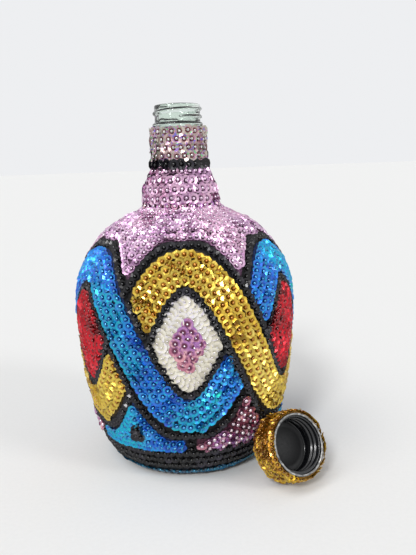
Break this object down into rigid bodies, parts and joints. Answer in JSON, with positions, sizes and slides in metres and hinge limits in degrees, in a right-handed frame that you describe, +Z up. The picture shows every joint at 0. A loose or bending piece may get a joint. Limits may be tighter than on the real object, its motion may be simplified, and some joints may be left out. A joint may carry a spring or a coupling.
{
  "type": "sequined bottle",
  "caption": "Round-shouldered glass bottle dressed in cloth and sewn sequins in interlaced bands, with its screw cap off and leaning beside it.",
  "frame": {"origin": "middle of the flat underside, on the table", "axes": "+Z up the bottle's axis to its mouth, the decorated front faces -Y, the cap lies to the right at +X -Y"},
  "size_m": [0.1326, 0.1322, 0.198],
  "materials": {
    "glass": "clear pale green bottle glass, smooth",
    "cloth": "close black woven cloth",
    "gold_cloth": "brown-gold cloth under the sequins of the cap",
    "black_sequins": "black cupped sequins with black beads",
    "pearl_sequins": "pearly cream sequins with clear beads",
    "lilac_sequins": "metallic lilac sequins with pink beads",
    "gold_sequins": "metallic gold sequins with amber beads",
    "amber_sequins": "dark gold sequins with amber beads",
    "blue_sequins": "metallic blue sequins with cyan glints",
    "teal_sequins": "dark teal sequins",
    "red_sequins": "metallic red sequins with red beads",
    "aluminium": "bare rolled aluminium",
    "black_plastic": "glossy moulded black plastic",
    "liner": "dark foamed sealing disc"
  },
  "bodies": {
    "bottle": {"glass_bottle": "glass", "cloth_sleeve": "cloth", "base_pad": "cloth", "foot_blue_row": "teal_sequins", "black_outlines": "black_sequins", "neck_black_row": "black_sequins", "neck_groove_row": "black_sequins", "collar_row_1": "pearl_sequins", "collar_row_2": "pearl_sequins", "collar_row_3": "pearl_sequins", "collar_row_4": "pearl_sequins", "white_eye_1": "pearl_sequins", "white_eye_2": "pearl_sequins", "white_eye_3": "pearl_sequins", "neck_lilac_row_1": "lilac_sequins", "neck_lilac_row_2": "lilac_sequins", "neck_lilac_row_3": "lilac_sequins", "neck_lilac_row_4": "lilac_sequins", "lilac_yoke": "lilac_sequins", "lilac_corner_1": "lilac_sequins", "lilac_corner_2": "lilac_sequins", "lilac_corner_3": "lilac_sequins", "gold_band_1": "gold_sequins", "gold_band_2": "gold_sequins", "gold_band_3": "gold_sequins", "blue_band_1": "blue_sequins", "blue_band_2": "blue_sequins", "blue_band_3": "blue_sequins", "blue_corner_1": "blue_sequins", "blue_corner_2": "blue_sequins", "blue_corner_3": "blue_sequins", "red_eye_1": "red_sequins", "red_eye_2": "red_sequins", "red_eye_3": "red_sequins"},
    "liner": {"cap_liner": "liner"},
    "cap": {"cap_insert": "black_plastic", "cap_shell": "aluminium", "cap_cloth": "gold_cloth", "cap_side_row_1": "amber_sequins", "cap_side_row_2": "amber_sequins", "cap_side_row_3": "amber_sequins", "cap_top_sequins": "amber_sequins"}
  },
  "joints": [
    {"name": "cap_travel", "type": "slide", "parent": "bottle", "child": "liner", "axis": [0.4931, -0.7478, 0.4446], "range_m": [0, 0.2]},
    {"name": "cap_turn", "type": "hinge", "parent": "liner", "child": "cap", "pos_m": [0.05512, -0.0586, 0.0232], "axis": [0.4931, -0.7478, 0.4446], "continuous": true}
  ]
}
